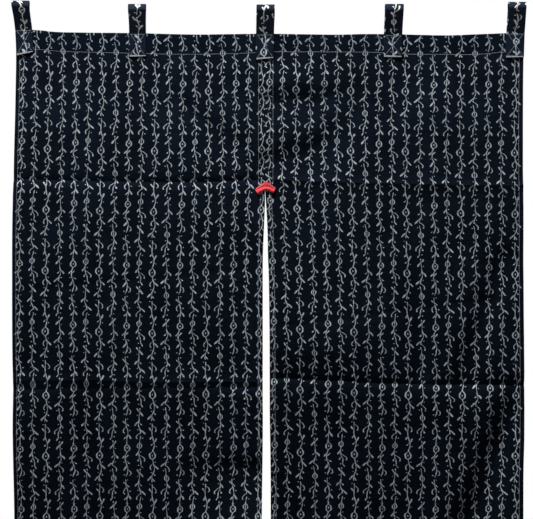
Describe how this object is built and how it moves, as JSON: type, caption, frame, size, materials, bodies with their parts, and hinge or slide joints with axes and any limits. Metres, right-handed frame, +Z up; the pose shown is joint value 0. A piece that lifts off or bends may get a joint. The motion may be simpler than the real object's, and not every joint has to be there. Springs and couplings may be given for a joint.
{
  "type": "split doorway curtain (noren)",
  "caption": "Split doorway curtain of dark navy printed cotton with a folded heading, rod tabs, a long middle slit and a red thread tack at the top of the slit.",
  "frame": {"origin": "on the top of the centre tab, over the seam, in the middle of the cloth's thickness", "axes": "+Z up, +X to the right along the rod line as the front is seen, +Y from the front towards the back"},
  "size_m": [0.8537, 0.0288, 0.9566],
  "materials": {
    "printed_cotton": "matt plain-weave cotton, dark navy, with a pale grey printed brush-stroke vine in columns",
    "tab_cotton": "the same printed cotton folded into strips and topstitched in pale grey thread",
    "red_thread": "thick red embroidery thread, softly shiny"
  },
  "bodies": {
    "root": {"panel_left": "printed_cotton", "panel_right": "printed_cotton", "tab_1": "tab_cotton", "tab_2": "tab_cotton", "tab_3": "tab_cotton", "tab_4": "tab_cotton", "tab_5": "tab_cotton", "slit_tack": "red_thread"}
  },
  "joints": []
}
